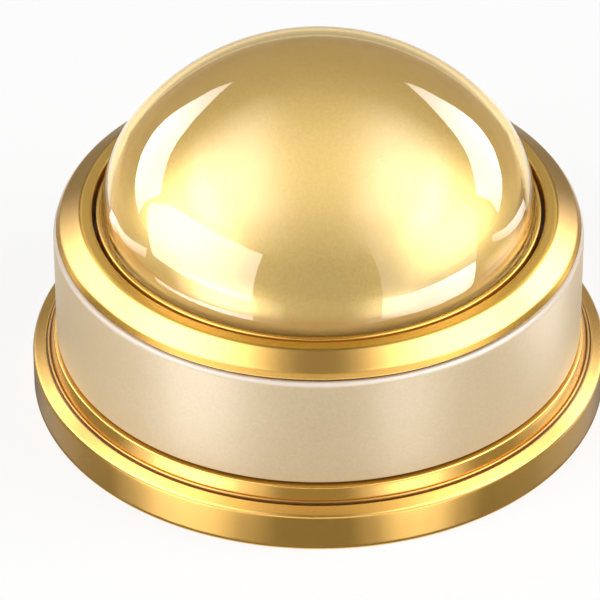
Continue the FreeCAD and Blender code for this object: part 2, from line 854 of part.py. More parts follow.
pieces = {
    "base_ring": make_base_ring(),
    "foot_ring": make_foot_ring(),
    "lower_gasket": make_lower_gasket(),
    "drum_shell": make_drum_shell(),
    "upper_gasket": make_upper_gasket(),
    "bezel_ring": make_bezel_ring(),
    "dome_lens": make_dome_lens(),
    "dome_core": make_dome_core(),
    "core_screws": make_core_screws(),
    "lens_ring": make_lens_ring(),
    "plunger": make_plunger(),
    "return_pads": make_return_pads(),
    "chassis": make_chassis(),
    "tie_posts": make_tie_posts(),
    "tie_screws": make_tie_screws(),
    "panel_inserts": make_panel_inserts(),
    "wire_grommet": make_wire_grommet(),
    "guide_bush": make_guide_bush(),
    "stop_washer": make_stop_washer(),
    "return_spring": make_return_spring(),
    "switch_bracket": make_switch_bracket(),
    "switch_case": make_switch_case(),
    "switch_cover": make_switch_cover(),
    "switch_lever": make_switch_lever(),
    "switch_button": make_switch_button(),
    "switch_blade": make_switch_blade(),
    "common_terminal": make_common_terminal(),
    "normally_open_terminal": make_normally_open_terminal(),
    "normally_closed_terminal": make_normally_closed_terminal(),
    "switch_screws": make_switch_screws(),
    "switch_nuts": make_switch_nuts(),
}

os.makedirs("parts", exist_ok=True)
for name, shape in pieces.items():
    shape.exportStep(f"parts/{name}.step")
    print(name, shape.isValid(), len(shape.Solids), round(shape.Volume, 1))
print("base radius", base_radius, "height", lens_centre_z + lens_rise, "land", bezel_land_z)
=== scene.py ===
import bpy
import bmesh
import math
from mathutils import Matrix, Vector


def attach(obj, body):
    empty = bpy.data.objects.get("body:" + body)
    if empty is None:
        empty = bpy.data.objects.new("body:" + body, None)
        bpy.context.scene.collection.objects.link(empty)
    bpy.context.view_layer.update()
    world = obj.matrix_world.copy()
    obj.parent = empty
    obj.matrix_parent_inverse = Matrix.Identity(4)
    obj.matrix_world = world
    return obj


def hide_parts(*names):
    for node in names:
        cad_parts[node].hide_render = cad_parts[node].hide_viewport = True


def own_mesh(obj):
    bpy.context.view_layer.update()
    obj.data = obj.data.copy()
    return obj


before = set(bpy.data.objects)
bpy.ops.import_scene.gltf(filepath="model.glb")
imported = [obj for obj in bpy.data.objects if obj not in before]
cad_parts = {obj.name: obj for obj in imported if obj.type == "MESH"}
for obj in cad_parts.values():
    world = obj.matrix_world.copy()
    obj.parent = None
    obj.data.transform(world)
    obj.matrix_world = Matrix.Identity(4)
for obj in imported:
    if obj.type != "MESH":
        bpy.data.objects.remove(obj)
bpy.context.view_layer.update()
mm = 0.001
print("frame loaded")


# a socket in a wrapper, so that + - and * on it add Math nodes
class Wire:
    def __init__(self, tree, socket):
        self.tree = tree
        self.socket = socket

    def maths(self, operation, first, second):
        node = self.tree.nodes.new("ShaderNodeMath")
        node.operation = operation
        plug(self.tree, node.inputs[0], first)
        plug(self.tree, node.inputs[1], second)
        return Wire(self.tree, node.outputs[0])

    def __add__(self, other):
        return self.maths("ADD", self, other)

    def __sub__(self, other):
        return self.maths("SUBTRACT", self, other)

    def __rsub__(self, other):
        return self.maths("SUBTRACT", other, self)

    def __mul__(self, other):
        return self.maths("MULTIPLY", self, other)

    __radd__ = __add__
    __rmul__ = __mul__


def plug(tree, slot, value):
    if isinstance(value, Wire):
        tree.links.new(value.socket, slot)
    else:
        slot.default_value = value


# the nodes of one material, or of the world; sizes in mm
class Finish:
    def __init__(self, owner):
        owner.use_nodes = True
        self.owner = owner
        self.tree = owner.node_tree
        self.tree.nodes.clear()

    def node(self, kind, settings=None, inputs=None, out=0):
        node = self.tree.nodes.new("ShaderNode" + kind)
        for name, value in (settings or {}).items():
            if name == "stops":
                while len(node.color_ramp.elements) < len(value):
                    node.color_ramp.elements.new(0.5)
                for element, (spot, colour) in zip(node.color_ramp.elements, value):
                    element.position = spot
                    element.color = colour
            else:
                setattr(node, name, value)
        for name, value in (inputs or {}).items():
            plug(self.tree, node.inputs[name], value)
        return Wire(self.tree, node.outputs[out]) if node.outputs else None

    def spot(self):
        return self.node("TexCoord", out="Object")

    def height(self, spot):
        return self.node("SeparateXYZ", None, {0: spot}, "Z")

    def noise(self, vector, size, detail=2.0):
        return self.node("TexNoise", None, {"Vector": vector, "Scale": 1 / (size * mm), "Detail": detail})

    # one even tone for each small cell
    def flakes(self, vector, size, channel):
        sockets = {"Vector": vector, "Scale": 1 / (size * mm)}
        cells = self.node("TexVoronoi", {"feature": "F1"}, sockets, "Color")
        return self.node("SeparateColor", None, {0: cells}, channel)

    # 0 at the first length of the span and 1 at the second
    def ramp(self, length, span):
        start, end = span
        return self.node("MapRange", None, {"Value": length, "From Min": start * mm, "From Max": end * mm})

    def blend(self, factor, first, second):
        return self.node("Mix", {"data_type": "RGBA"}, {0: factor, 6: first, 7: second}, 2)

    def bump(self, height, strength, depth):
        return self.node("Bump", None, {"Height": height, "Strength": strength, "Distance": depth * mm})

    def surface(self, shader, inside=None):
        kind = "OutputWorld" if isinstance(self.owner, bpy.types.World) else "OutputMaterial"
        sockets = {"Surface": shader}
        if inside:
            sockets["Volume"] = inside
        self.node(kind, None, sockets)
        return self.owner


def newFinish(name):
    return Finish(bpy.data.materials.new(name))


acrossTurning = 0.25  # a quarter turn, so that the sheen runs across the lathe marks

# gold turned on a lathe, with fine rings in it; painted shade in the base's groove and on the land is given
# as spans of radius or height
turnedGold = {
    "light": (0.91, 0.52, 0.075, 1), "deep": (0.86, 0.45, 0.04, 1), "metal": 0.8, "grain": 0.75,
    "ringPitch": 0.16, "bandPitch": 1.1, "cloudSize": 9, "speckSize": 0.22, "cutDepth": 0.004,
    "roughness": 0.24, "uneven": 0.06,
    "lacquer": 0.88, "lacquerWear": 0.2, "lacquerRoughness": 0.24, "lacquerIor": 1.85,
    # the next colour and its spans are a painted shade in the base's groove
    "grooveShade": (0.30, 0.16, 0.035, 1), "grooveShadeFrom": (46.82, 46.90), "grooveShadeTo": (47.72, 47.68),
    "grooveShadeDepth": (8.25, 7.95),
    # the land colour is a painted shade, darker, for the flat tops round the dome
    "land": (0.58, 0.335, 0.035, 1), "landHeight": (35.34, 35.40), "landLacquer": 0.35}


def makeTurnedGold(name, v):
    f = newFinish(name)
    spot = f.spot()
    plan = f.node("VectorMath", {"operation": "MULTIPLY"}, {0: spot, 1: (1, 1, 0)})
    radius = f.node("VectorMath", {"operation": "LENGTH"}, {0: plan}, "Value")
    height = f.height(spot)
    across = f.node("CombineXYZ", None, {"X": radius, "Y": height})  # the same all the way round
    rings = f.noise(across, v["ringPitch"], 3)
    bands = f.noise(across, v["bandPitch"], 1)
    cloud = f.noise(spot, v["cloudSize"], 3)
    speck = f.noise(spot, v["speckSize"])
    metal = f.blend(bands * 0.5 + cloud * 0.3 + speck * 0.2, v["deep"], v["light"])
    # painted shade in the groove between the base's slope and its collar
    grooveShade = f.ramp(radius, v["grooveShadeFrom"]) * f.ramp(radius, v["grooveShadeTo"]) * f.ramp(height, v["grooveShadeDepth"])
    grooveShaded = f.blend(grooveShade, metal, v["grooveShade"])  # painted shade: darker down in the groove of the base
    land = f.ramp(height, v["landHeight"])
    colour = f.blend(land, grooveShaded, v["land"])  # painted shade: darker on the flat tops round the dome too
    lacquer = cloud * v["lacquerWear"] + (v["lacquer"] - v["lacquerWear"] / 2)
    shader = f.node("BsdfPrincipled", None, {
        "Base Color": colour, "Metallic": v["metal"],
        "Roughness": rings * v["uneven"] + cloud * v["uneven"] + (v["roughness"] - v["uneven"]),
        "Anisotropic": v["grain"], "Anisotropic Rotation": acrossTurning,
        "Coat Weight": lacquer * (1 - land * (1 - v["landLacquer"])),
        "Coat Roughness": v["lacquerRoughness"], "Coat IOR": v["lacquerIor"],
        "Normal": f.bump(rings, 0.5, v["cutDepth"])})
    return f.surface(shader)


# cream lacquer with a fine pearl in it, and a painted highlight, paler, where it rolls over the top edge
pearl = {
    "cream": (0.60, 0.45, 0.25, 1), "flake": (0.72, 0.56, 0.34, 1), "flakeSize": 0.32, "cloudSize": 7,
    "speckSize": 0.5, "skinDepth": 0.01, "roughness": 0.42, "grain": 0.6, "lacquer": 0.4,
    # edge is the colour of the painted highlight along the top edge
    "lacquerRoughness": 0.3, "edge": (0.82, 0.72, 0.62, 1), "edgeHighlightHeight": (30.95, 31.3)}


def makePearl(name, v):
    f = newFinish(name)
    spot = f.spot()
    glint = f.flakes(spot, v["flakeSize"], "Red")
    cloud = f.noise(spot, v["cloudSize"], 3)
    speck = f.noise(spot, v["speckSize"], 3)
    body = f.blend(glint * 0.35 + speck * 0.35 + cloud * 0.3, v["cream"], v["flake"])
    # painted highlight: paler along the rounded top edge
    edgeHighlight = f.ramp(f.height(spot), v["edgeHighlightHeight"])
    shader = f.node("BsdfPrincipled", None, {
        "Base Color": f.blend(edgeHighlight, body, v["edge"]),
        "Roughness": glint * 0.1 + speck * 0.06 + (v["roughness"] - 0.08),
        "Specular IOR Level": 1.0, "Anisotropic": v["grain"], "Anisotropic Rotation": acrossTurning,
        "Coat Weight": cloud * 0.1 + v["lacquer"], "Coat Roughness": v["lacquerRoughness"],
        "Normal": f.bump(glint + speck, 0.25, v["skinDepth"])})
    return f.surface(shader)


# clear acrylic, warm through its thickness, with faint wiping marks that show only in the gloss
clear = {
    "tint": (1.0, 0.99, 0.97, 1), "ior": 1.49, "roughness": 0.0048, "wipeMarks": 0.02, "markSize": 3.5,
    "markStretch": (1, 0.25, 1), "depthColour": (0.95, 0.75, 0.20, 1), "depth": 280}


def makeClear(name, v):
    f = newFinish(name)
    stretched = f.node("Mapping", None, {"Vector": f.spot(), "Scale": v["markStretch"]})
    wiped = f.noise(stretched, v["markSize"], 4)
    shader = f.node("BsdfPrincipled", None, {
        "Base Color": v["tint"], "Roughness": wiped * wiped * wiped * v["wipeMarks"] + v["roughness"],
        "IOR": v["ior"], "Transmission Weight": 1.0})
    depth = f.node("VolumeAbsorption", None, {"Color": v["depthColour"], "Density": v["depth"]})
    return f.surface(shader, depth)


# satin gold of the inner dome, a metallised coat with a fine sparkle, and painted light at the foot, pale and
# less metallic, where it sits in shade
satinGold = {
    "light": (0.94, 0.84, 0.54, 1), "deep": (0.80, 0.67, 0.33, 1), "edge": (0.86, 0.62, 0.25, 1),
    "metal": 0.85, "sparkleSize": 0.3, "cloudSize": 12, "speckSize": 0.4, "skinDepth": 0.012,
    "roughness": 0.38, "lacquer": 0.45, "lacquerRoughness": 0.4, "lacquerIor": 1.7,
    # foot is the colour of the painted light at the foot
    "foot": (0.96, 0.83, 0.54, 1), "footLightHeight": (38.2, 36.4)}


def makeSatinGold(name, v):
    f = newFinish(name)
    spot = f.spot()
    glint = f.flakes(spot, v["sparkleSize"], "Green")
    cloud = f.noise(spot, v["cloudSize"], 3)
    speck = f.noise(spot, v["speckSize"], 3)
    # painted light: the foot is paler and not metallic, to lift the shade it sits in
    foot = f.ramp(f.height(spot), v["footLightHeight"])
    coat = f.blend(glint * 0.4 + speck * 0.3 + cloud * 0.3, v["deep"], v["light"])
    shader = f.node("BsdfPrincipled", None, {
        "Base Color": f.blend(foot, coat, v["foot"]), "Metallic": (1 - foot) * v["metal"],
        "Roughness": glint * 0.08 + cloud * 0.06 + (v["roughness"] - 0.07), "Specular Tint": v["edge"],
        "Coat Weight": v["lacquer"], "Coat Roughness": v["lacquerRoughness"], "Coat IOR": v["lacquerIor"],
        "Normal": f.bump(glint + speck, 0.3, v["skinDepth"])})
    return f.surface(shader)


# moulded plastics and rubber: fine pitted skin, slightly uneven tone
moulded = {
    "blackRubber": {
        "colour": (0.022, 0.019, 0.017, 1), "tone": (0.045, 0.040, 0.036, 1), "gloss": 0.3,
        "roughness": 0.72, "pitSize": 0.35, "pitDepth": 0.02,
        "nodes": ("foot_ring", "wire_grommet", "stop_washer", "return_pads")},
    "gasketBrown": {
        "colour": (0.085, 0.045, 0.018, 1), "tone": (0.13, 0.075, 0.032, 1), "gloss": 0.3,
        "roughness": 0.66, "pitSize": 0.4, "pitDepth": 0.02,
        "nodes": ("lower_gasket", "upper_gasket")},
    "chassisBlack": {
        "colour": (0.020, 0.020, 0.022, 1), "tone": (0.036, 0.036, 0.038, 1), "gloss": 0.4,
        "roughness": 0.5, "pitSize": 0.45, "pitDepth": 0.03,
        "nodes": ("chassis", "tie_posts", "switch_bracket")},
    "plungerWhite": {
        "colour": (0.74, 0.72, 0.67, 1), "tone": (0.82, 0.81, 0.77, 1), "gloss": 0.4,
        "roughness": 0.46, "pitSize": 0.5, "pitDepth": 0.015,
        "nodes": ("plunger",)},
    "bushCream": {
        "colour": (0.66, 0.60, 0.48, 1), "tone": (0.74, 0.69, 0.57, 1), "gloss": 0.4,
        "roughness": 0.4, "pitSize": 0.4, "pitDepth": 0.01,
        "nodes": ("guide_bush",)},
    "switchBlack": {
        "colour": (0.025, 0.025, 0.028, 1), "tone": (0.045, 0.045, 0.05, 1), "gloss": 0.4,
        "roughness": 0.44, "pitSize": 0.3, "pitDepth": 0.015,
        "nodes": ("switch_case",)},
    "switchRed": {
        "colour": (0.20, 0.020, 0.016, 1), "tone": (0.28, 0.034, 0.026, 1), "gloss": 0.4,
        "roughness": 0.4, "pitSize": 0.3, "pitDepth": 0.015,
        "nodes": ("switch_cover",)},
    "pinRed": {
        "colour": (0.40, 0.022, 0.016, 1), "tone": (0.50, 0.040, 0.028, 1), "gloss": 0.5,
        "roughness": 0.3, "pitSize": 0.3, "pitDepth": 0.008,
        "nodes": ("switch_button",)},
}


def makeMoulded(name, v, cloudSize=6):
    f = newFinish(name)
    spot = f.spot()
    skin = f.noise(spot, v["pitSize"], 4)
    cloud = f.noise(spot, cloudSize, 3)
    shader = f.node("BsdfPrincipled", None, {
        "Base Color": f.blend(skin * 0.4 + cloud * 0.6, v["colour"], v["tone"]),
        "Roughness": skin * 0.16 + cloud * 0.08 + (v["roughness"] - 0.12), "Specular IOR Level": v["gloss"],
        "Normal": f.bump(skin, 0.4, v["pitDepth"])})
    return f.surface(shader)


# plated and drawn metals: lengthwise draw marks and a dull bloom
drawn = {
    "zincSteel": {
        "colour": (0.50, 0.50, 0.52, 1), "tone": (0.64, 0.64, 0.65, 1), "roughness": 0.34, "markSize": 0.3,
        "nodes": ("tie_screws", "core_screws", "switch_screws", "switch_nuts", "switch_lever")},
    "drawnBrass": {
        "colour": (0.62, 0.42, 0.14, 1), "tone": (0.76, 0.55, 0.22, 1), "roughness": 0.34, "markSize": 0.25,
        "nodes": ("panel_inserts", "switch_blade", "common_terminal", "normally_open_terminal",
                  "normally_closed_terminal")},
}


def makeDrawn(name, v, markStretch=(1, 1, 0.2), markDepth=0.006, bloomSize=2.2):
    f = newFinish(name)
    spot = f.spot()
    marks = f.noise(f.node("Mapping", None, {"Vector": spot, "Scale": markStretch}), v["markSize"], 3)
    bloom = f.noise(spot, bloomSize, 4)
    shader = f.node("BsdfPrincipled", None, {
        "Base Color": f.blend(bloom * 0.7 + marks * 0.3, v["colour"], v["tone"]), "Metallic": 1.0,
        "Roughness": marks * 0.14 + bloom * 0.12 + (v["roughness"] - 0.13),
        "Normal": f.bump(marks, 0.3, markDepth)})
    return f.surface(shader)


goldFinish = makeTurnedGold("turnedGold", turnedGold)
pearlFinish = makePearl("creamPearl", pearl)
clearFinish = makeClear("clearAcrylic", clear)
coreFinish = makeSatinGold("satinGold", satinGold)
finishes = {}
for make, family in ((makeMoulded, moulded), (makeDrawn, drawn)):
    for name, v in family.items():
        finishes[name] = make(name, v)
        for nodeName in v["nodes"]:
            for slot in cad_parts[nodeName].material_slots:
                slot.material = finishes[name]
print("finishes made:", len(bpy.data.materials))

# how the pieces stand on each other, from the base's collar up; sizes of pieces are in mm
stack = {"collarTop": 10.4, "lowerGasket": 0.5, "drumHeight": 20.714, "upperGasket": 0.6, "bezelHeight": 3.3,
         "domeSink": 2.0}
drumFoot = stack["collarTop"] + stack["lowerGasket"]
drumTop = drumFoot + stack["drumHeight"]
lipFoot = drumTop + stack["upperGasket"]
landTop = lipFoot + stack["bezelHeight"]
domeFoot = landTop - stack["domeSink"]


# a closed outline of (radius, height, how far its rounding reaches along the sides)
def drawOutline(bm, outline, segments, longSide=0.7, cuts=5):
    corners = [bm.verts.new((radius * mm, 0, height * mm)) for radius, height, reach in outline]
    for here, there in zip(corners, corners[1:] + corners[:1]):
        bm.edges.new((here, there))
    for corner, (radius, height, reach) in zip(corners, outline):
        if reach:
            bmesh.ops.bevel(bm, geom=[corner], offset=reach * mm, offset_type="OFFSET", segments=segments,
                            profile=0.5, affect="VERTICES", material=-1)
    sides = [edge for edge in bm.edges if edge.calc_length() > longSide * mm]
    bmesh.ops.subdivide_edges(bm, edges=sides, cuts=cuts)  # keeps the flats flat when shaded


def turnRound(bm, steps, mergeWithin=1e-7):
    bmesh.ops.spin(bm, geom=bm.verts[:] + bm.edges[:], cent=(0, 0, 0), axis=(0, 0, 1), angle=2 * math.pi,
                   steps=steps, use_merge=True)
    bmesh.ops.remove_doubles(bm, verts=bm.verts[:], dist=mergeWithin)
    bmesh.ops.recalc_face_normals(bm, faces=bm.faces[:])


def newPiece(name, bm, finish, node):
    mesh = bpy.data.meshes.new(name)
    bm.to_mesh(mesh)
    bm.free()
    mesh.shade_smooth()
    mesh.materials.append(finish)
    piece = bpy.data.objects.new(name, mesh)
    bpy.context.scene.collection.objects.link(piece)
    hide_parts(node)
    print(name, len(mesh.polygons), "faces")
    return piece


def turnPiece(name, v, outline, finish, node):
    bm = bmesh.new()
    drawOutline(bm, outline, v["roundSegments"])
    turnRound(bm, v["steps"])
    return newPiece(name, bm, finish, node)


# base ring: wall, sloped band, groove and bead, and the collar that the drum stands in
baseRing = {"steps": 288, "roundSegments": 6}
baseOutline = [
    (46.60, 0.0, 0), (47.55, 0.0, 0), (47.55, 1.05, 0), (49.05, 1.05, 0), (49.05, 0.0, 0),  # foot's groove
    (50.00, 0.0, 0.25), (50.00, 6.9, 0.45), (47.70, 7.7, 0.16),  # wall and slope
    (47.70, 7.3, 0), (47.42, 7.3, 0),  # groove
    (47.42, 8.15, 0.12), (47.07, 8.15, 0.12), (47.07, 7.7, 0), (46.95, 7.7, 0),  # bead
    (46.30, stack["collarTop"], 0.25), (44.00, stack["collarTop"], 0),  # collar
    (44.00, 3.3, 0), (46.60, 3.3, 0)]  # bore
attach(turnPiece("baseRing", baseRing, baseOutline, goldFinish, "base_ring"), "housing")

# drum: a plain tube with a soft top edge
drum = {"steps": 288, "roundSegments": 8, "radius": 45.75, "wall": 1.8, "footRound": 0.4, "topRound": 0.9,
        "boreRound": 0.1}
drumBore = drum["radius"] - drum["wall"]
drumOutline = [
    (drumBore, drumFoot, 0), (drum["radius"], drumFoot, drum["footRound"]),
    (drum["radius"], drumTop, drum["topRound"]), (drumBore, drumTop, drum["boreRound"])]
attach(turnPiece("drum", drum, drumOutline, pearlFinish, "drum_shell"), "housing")

# bezel: spigot into the drum, lip, wide outward slope and flat land round the dome
bezel = {"steps": 288, "roundSegments": 6, "spigotDepth": 2.2, "lipHeight": 1.1}
spigotFoot = drumTop - bezel["spigotDepth"]
lipTop = lipFoot + bezel["lipHeight"]
bezelOutline = [
    (39.0, spigotFoot, 0), (43.8, spigotFoot, 0), (43.8, lipFoot, 0), (45.4, lipFoot, 0.25),
    (44.6, lipTop, 0.25), (41.1, landTop, 0.35), (39.0, landTop, 0.3)]
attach(turnPiece("bezel", bezel, bezelOutline, goldFinish, "bezel_ring"), "housing")

# thin gold ring that holds the lens by its flange
lensRing = {"steps": 288, "roundSegments": 6, "sink": 0.1, "height": 6.8, "lipHeight": 0.6}
ringTop = landTop - lensRing["sink"]
ringFoot = ringTop - lensRing["height"]
lipUnder = ringTop - lensRing["lipHeight"]
ringOutline = [
    (37.8, ringFoot, 0), (38.3, ringFoot, 0), (38.3, ringTop, 0.3), (37.45, ringTop, 0.2),
    (37.45, lipUnder, 0), (37.8, lipUnder, 0)]
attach(turnPiece("lensRing", lensRing, ringOutline, goldFinish, "lens_ring"), "dome")

# the dome's line: a skirt, and a shoulder arc that runs into a flatter crown arc
dome = {"radius": 37.4, "rise": 28.7, "crownLift": 8.0, "skirt": 1.95, "shoulderSteps": 26, "crownSteps": 40}
shoulderRadius = dome["rise"] - dome["crownLift"]
shoulderCentre = dome["radius"] - shoulderRadius
crownDrop = (shoulderCentre ** 2 / dome["crownLift"] - dome["crownLift"]) / 2  # where the arcs meet smoothly
centreHeight = domeFoot + dome["skirt"]


def swingArc(bm, start, centre, height, angle, steps):
    spun = bmesh.ops.spin(bm, geom=[start], cent=(centre * mm, 0, height * mm), axis=(0, 1, 0), angle=-angle,
                          steps=steps)
    return [item for item in spun["geom_last"] if isinstance(item, bmesh.types.BMVert)][0]


# from the foot up the skirt and over to the axis, set in from the outside by inset
def drawDome(bm, inset, foot):
    side = dome["radius"] - inset
    start = bm.verts.new((side * mm, 0, foot * mm))
    skirt = bm.verts.new((side * mm, 0, centreHeight * mm))
    bm.edges.new((start, skirt))
    lean = math.atan2(crownDrop, shoulderCentre)
    joint = swingArc(bm, skirt, shoulderCentre, centreHeight, lean, dome["shoulderSteps"])
    swingArc(bm, joint, 0, centreHeight - crownDrop, math.pi / 2 - lean, dome["crownSteps"])
    return start


# clear lens: a thin shell with a small flange at its foot
lens = {"steps": 320, "wall": 1.5, "flangeWidth": 0.35, "flangeThickness": 1.25}
flangeRadius = dome["radius"] + lens["flangeWidth"]
flangeTop = domeFoot + lens["flangeThickness"]
bm = bmesh.new()
outside = drawDome(bm, 0, flangeTop)
inside = drawDome(bm, lens["wall"], domeFoot)
upperCorner = bm.verts.new((flangeRadius * mm, 0, flangeTop * mm))
lowerCorner = bm.verts.new((flangeRadius * mm, 0, domeFoot * mm))
for here, there in ((outside, upperCorner), (upperCorner, lowerCorner), (lowerCorner, inside)):
    bm.edges.new((here, there))
turnRound(bm, lens["steps"])
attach(newPiece("lens", bm, clearFinish, "dome_lens"), "dome")

# gold inner dome, with three bosses inside for its screws
core = {"steps": 256, "inset": 1.7, "wall": 1.6, "bossCircle": 26.7, "bossRadius": 3.0, "bossTop": 44.5,
        "bossAngles": (90, 210, 330), "bossSides": 40}
bm = bmesh.new()
coreFoot = drawDome(bm, core["inset"], domeFoot)
bm.edges.new((coreFoot, drawDome(bm, core["inset"] + core["wall"], domeFoot)))
turnRound(bm, core["steps"])
bossHeight = core["bossTop"] - domeFoot
bossCentre = Vector((core["bossCircle"], 0, domeFoot + bossHeight / 2)) * mm
for angle in core["bossAngles"]:
    place = Matrix.Translation(Matrix.Rotation(math.radians(angle), 3, "Z") @ bossCentre)
    bmesh.ops.create_cone(bm, cap_ends=True, segments=core["bossSides"], radius1=core["bossRadius"] * mm,
                          radius2=core["bossRadius"] * mm, depth=bossHeight * mm, matrix=place)
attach(newPiece("core", bm, coreFinish, "dome_core"), "dome")

# return spring
spring = {"turns": 7, "radius": 10.83, "wire": 1.3, "foot": 3.3, "top": domeFoot - 2.05, "travel": 4.0,
          "stepsPerTurn": 40, "wireSides": 16}
bm = bmesh.new()
rise = spring["top"] - spring["foot"] - spring["wire"]
upright = Matrix.Rotation(math.pi / 2, 4, "X")
start = Matrix.Translation(Vector((spring["radius"], 0, spring["foot"] + spring["wire"] / 2)) * mm)
bmesh.ops.create_circle(bm, segments=spring["wireSides"], radius=spring["wire"] / 2 * mm,
                        matrix=start @ upright)
steps = spring["turns"] * spring["stepsPerTurn"]
bmesh.ops.spin(bm, geom=bm.verts[:] + bm.edges[:], cent=(0, 0, 0), axis=(0, 0, 1),
               dvec=(0, 0, rise / steps * mm), angle=spring["turns"] * 2 * math.pi, steps=steps)
bmesh.ops.holes_fill(bm, edges=bm.edges[:], sides=spring["wireSides"])
bmesh.ops.recalc_face_normals(bm, faces=bm.faces[:])
coil = newPiece("coil", bm, finishes["zincSteel"], "return_spring")
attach(coil, "housing")
spring["foot"] * mm
1 - spring["travel"] / (spring["top"] - spring["foot"])
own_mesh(coil)
print("pieces made")


# which rays see the white surroundings
def seenRays(f):
    camera = f.node("LightPath", out="Is Camera Ray")
    glossy = f.node("LightPath", out="Is Glossy Ray")
    through = f.node("LightPath", out="Is Transmission Ray")
    return camera + glossy + through


# from here on lengths are in metres, unless a note says mm
studio = {"fill": 0.42, "white": (1, 1, 1, 1), "floorTone": (0.9, 0.9, 0.9, 1), "floorWhite": 0.8,
          "floorSize": 4}
scene = bpy.context.scene
scene.view_settings.view_transform = "Standard"
scene.world = bpy.data.worlds.new("studio")
f = Finish(scene.world)
plain = f.node("Background", None, {"Color": studio["white"], "Strength": studio["fill"]})
white = f.node("Background", None, {"Color": studio["white"], "Strength": 1.0})
f.surface(f.node("MixShader", None, {0: seenRays(f), 1: plain, 2: white}))


def newStage(name, bm, material):
    mesh = bpy.data.meshes.new(name)
    bm.to_mesh(mesh)
    bm.free()
    mesh.materials.append(material)
    thing = bpy.data.objects.new(name, mesh)
    scene.collection.objects.link(thing)
    return thing


# pale floor, white to the eye but still with the object's soft shadow on it
f = newFinish("paleFloor")
matt = f.node("BsdfDiffuse", None, {"Color": studio["floorTone"]})
bright = f.node("Emission", None, {"Color": studio["white"], "Strength": 1.0})
whiteShare = seenRays(f) * studio["floorWhite"]
floorFinish = f.surface(f.node("MixShader", None, {0: whiteShare, 1: matt, 2: bright}))
bm = bmesh.new()
bmesh.ops.create_grid(bm, x_segments=1, y_segments=1, size=studio["floorSize"])
newStage("floor", bm, floorFinish)


# cards that only gloss and glass see; their light falls off by the weight at each point, down to edge,
# and where there is no edge they only add their light to what is behind them
def newCard(name, bm, glow, edge, gloss, glass, only):
    f = newFinish(name)
    weight = f.node("Attribute", {"attribute_name": "weight"}, out="Fac")
    grey = f.node("ValToRGB", {"stops": ((0, (0, 0, 0, 1)), (1, studio["white"]))}, {0: weight})
    if edge is None:
        light = f.node("Emission", None, {"Color": grey, "Strength": glow})
        shader = f.node("AddShader", None, {0: light, 1: f.node("BsdfTransparent")})
    else:
        dim = edge / glow
        tone = f.blend(grey, (dim, dim, dim, 1), studio["white"])
        shader = f.node("Emission", None, {"Color": tone, "Strength": glow})
    card = newStage(name, bm, f.surface(shader))
    card.visible_camera = False
    card.visible_diffuse = False
    card.visible_shadow = False
    card.visible_volume_scatter = False
    card.visible_glossy = gloss
    card.visible_transmission = glass
    card.light_linking.receiver_collection = only


# a net of points with their weights, row by row
def netCard(name, rows, glow, edge=None, gloss=True, glass=True, only=None):
    bm = bmesh.new()
    layer = bm.verts.layers.float.new("weight")
    net = []
    for row in rows:
        net.append([bm.verts.new(spot) for spot, weight in row])
        for vert, (spot, weight) in zip(net[-1], row):
            vert[layer] = weight
    for lower, upper in zip(net, net[1:]):
        for a, b, c, d in zip(lower, lower[1:], upper[1:], upper):
            bmesh.ops.contextual_create(bm, geom=[a, b, c, d])
    newCard(name, bm, glow, edge, gloss, glass, only)


# where a level line at this turn from the camera points; 0 is towards the camera, + is to its right
def heading(turn):
    return Vector((math.sin(math.radians(turn)), -math.cos(math.radians(turn)), 0))


def upBy(height):
    return Vector((0, 0, height))


# what only the lens, or only the gold, mirrors
def receivers(name, pieces):
    group = bpy.data.collections.new(name)
    for piece in pieces:
        group.objects.link(bpy.data.objects[piece])
    return group


lensOnly = receivers("lensOnly", ["lens"])
goldOnly = receivers("goldOnly", ["baseRing", "bezel", "lensRing"])

# the room, once as the gloss mirrors it and once as the glass shows it: walls of (height, weight), table of
# (radius, weight), ceiling of (place, weight) across, the same to both sides, and along from front to back
room = {"wall": ((0, 1), (0.4, 0.9), (0.8, 0.5), (1.3, 0.2), (2.4, 0)), "pole": 0.01, "tableLift": 0.0002,
        "ceilingShare": 0.5625, "backFrom": 97, "backFull": 151, "turnStep": 15}
forGloss = {
    "size": 1.60, "front": 0.05, "back": 0.14, "tableFront": 0.12, "tableBack": 1.2, "ceiling": 6.0,
    "table": ((0.01, 1), (0.1, 1), (0.17, 0.1), (0.3, 0), (1.6, 0)),
    "across": ((0, 0), (0.1, 0), (0.18, 0.1), (0.25, 0.28), (0.33, 0.58), (0.45, 0.9), (0.6, 1), (1.0, 1),
               (1.2, 0.6), (1.45, 0)),
    "along": ((-0.95, 0), (-0.6, 0.35), (-0.35, 0.85), (0, 1), (0.3, 0.7), (0.5, 0.3), (0.75, 0))}
forGlass = {
    "size": 1.62, "front": 0.5, "back": 0.54, "tableFront": 0.72, "tableBack": 1.7, "ceiling": 2.2,
    "table": ((0.01, 1), (0.2, 1), (0.26, 0.1), (0.4, 0), (1.6, 0)),
    "across": ((0, 0.5), (0.15, 0.53), (0.35, 0.7), (0.6, 1), (1.0, 1), (1.2, 0.6), (1.45, 0)),
    "along": ((-0.95, 0), (-0.6, 0.35), (-0.35, 0.8), (-0.1, 1), (0.2, 0.75), (0.5, 0.3), (0.9, 0))}


# rings of (radius, height, weight) round the object; the weight holds behind it and fades out to the front
def roundCard(name, rings, glow, edge, **seen):
    rows = []
    for radius, height, weight in rings:
        row = []
        for turn in range(-180, 181, room["turnStep"]):
            back = (abs(turn) - room["backFrom"]) / (room["backFull"] - room["backFrom"])
            row.append((heading(turn) * radius + upBy(height), weight * min(max(back, 0), 1)))
        rows.append(row)
    netCard(name, rows, glow, edge, **seen)


def ceilingCard(name, v, **seen):
    height = room["ceilingShare"] * v["size"]
    across = [(-x, weight) for x, weight in v["across"][:0:-1]] + list(v["across"])
    rows = [[((x, y, height), first * second) for x, first in across] for y, second in v["along"]]
    netCard(name, rows, v["ceiling"], v["front"], **seen)


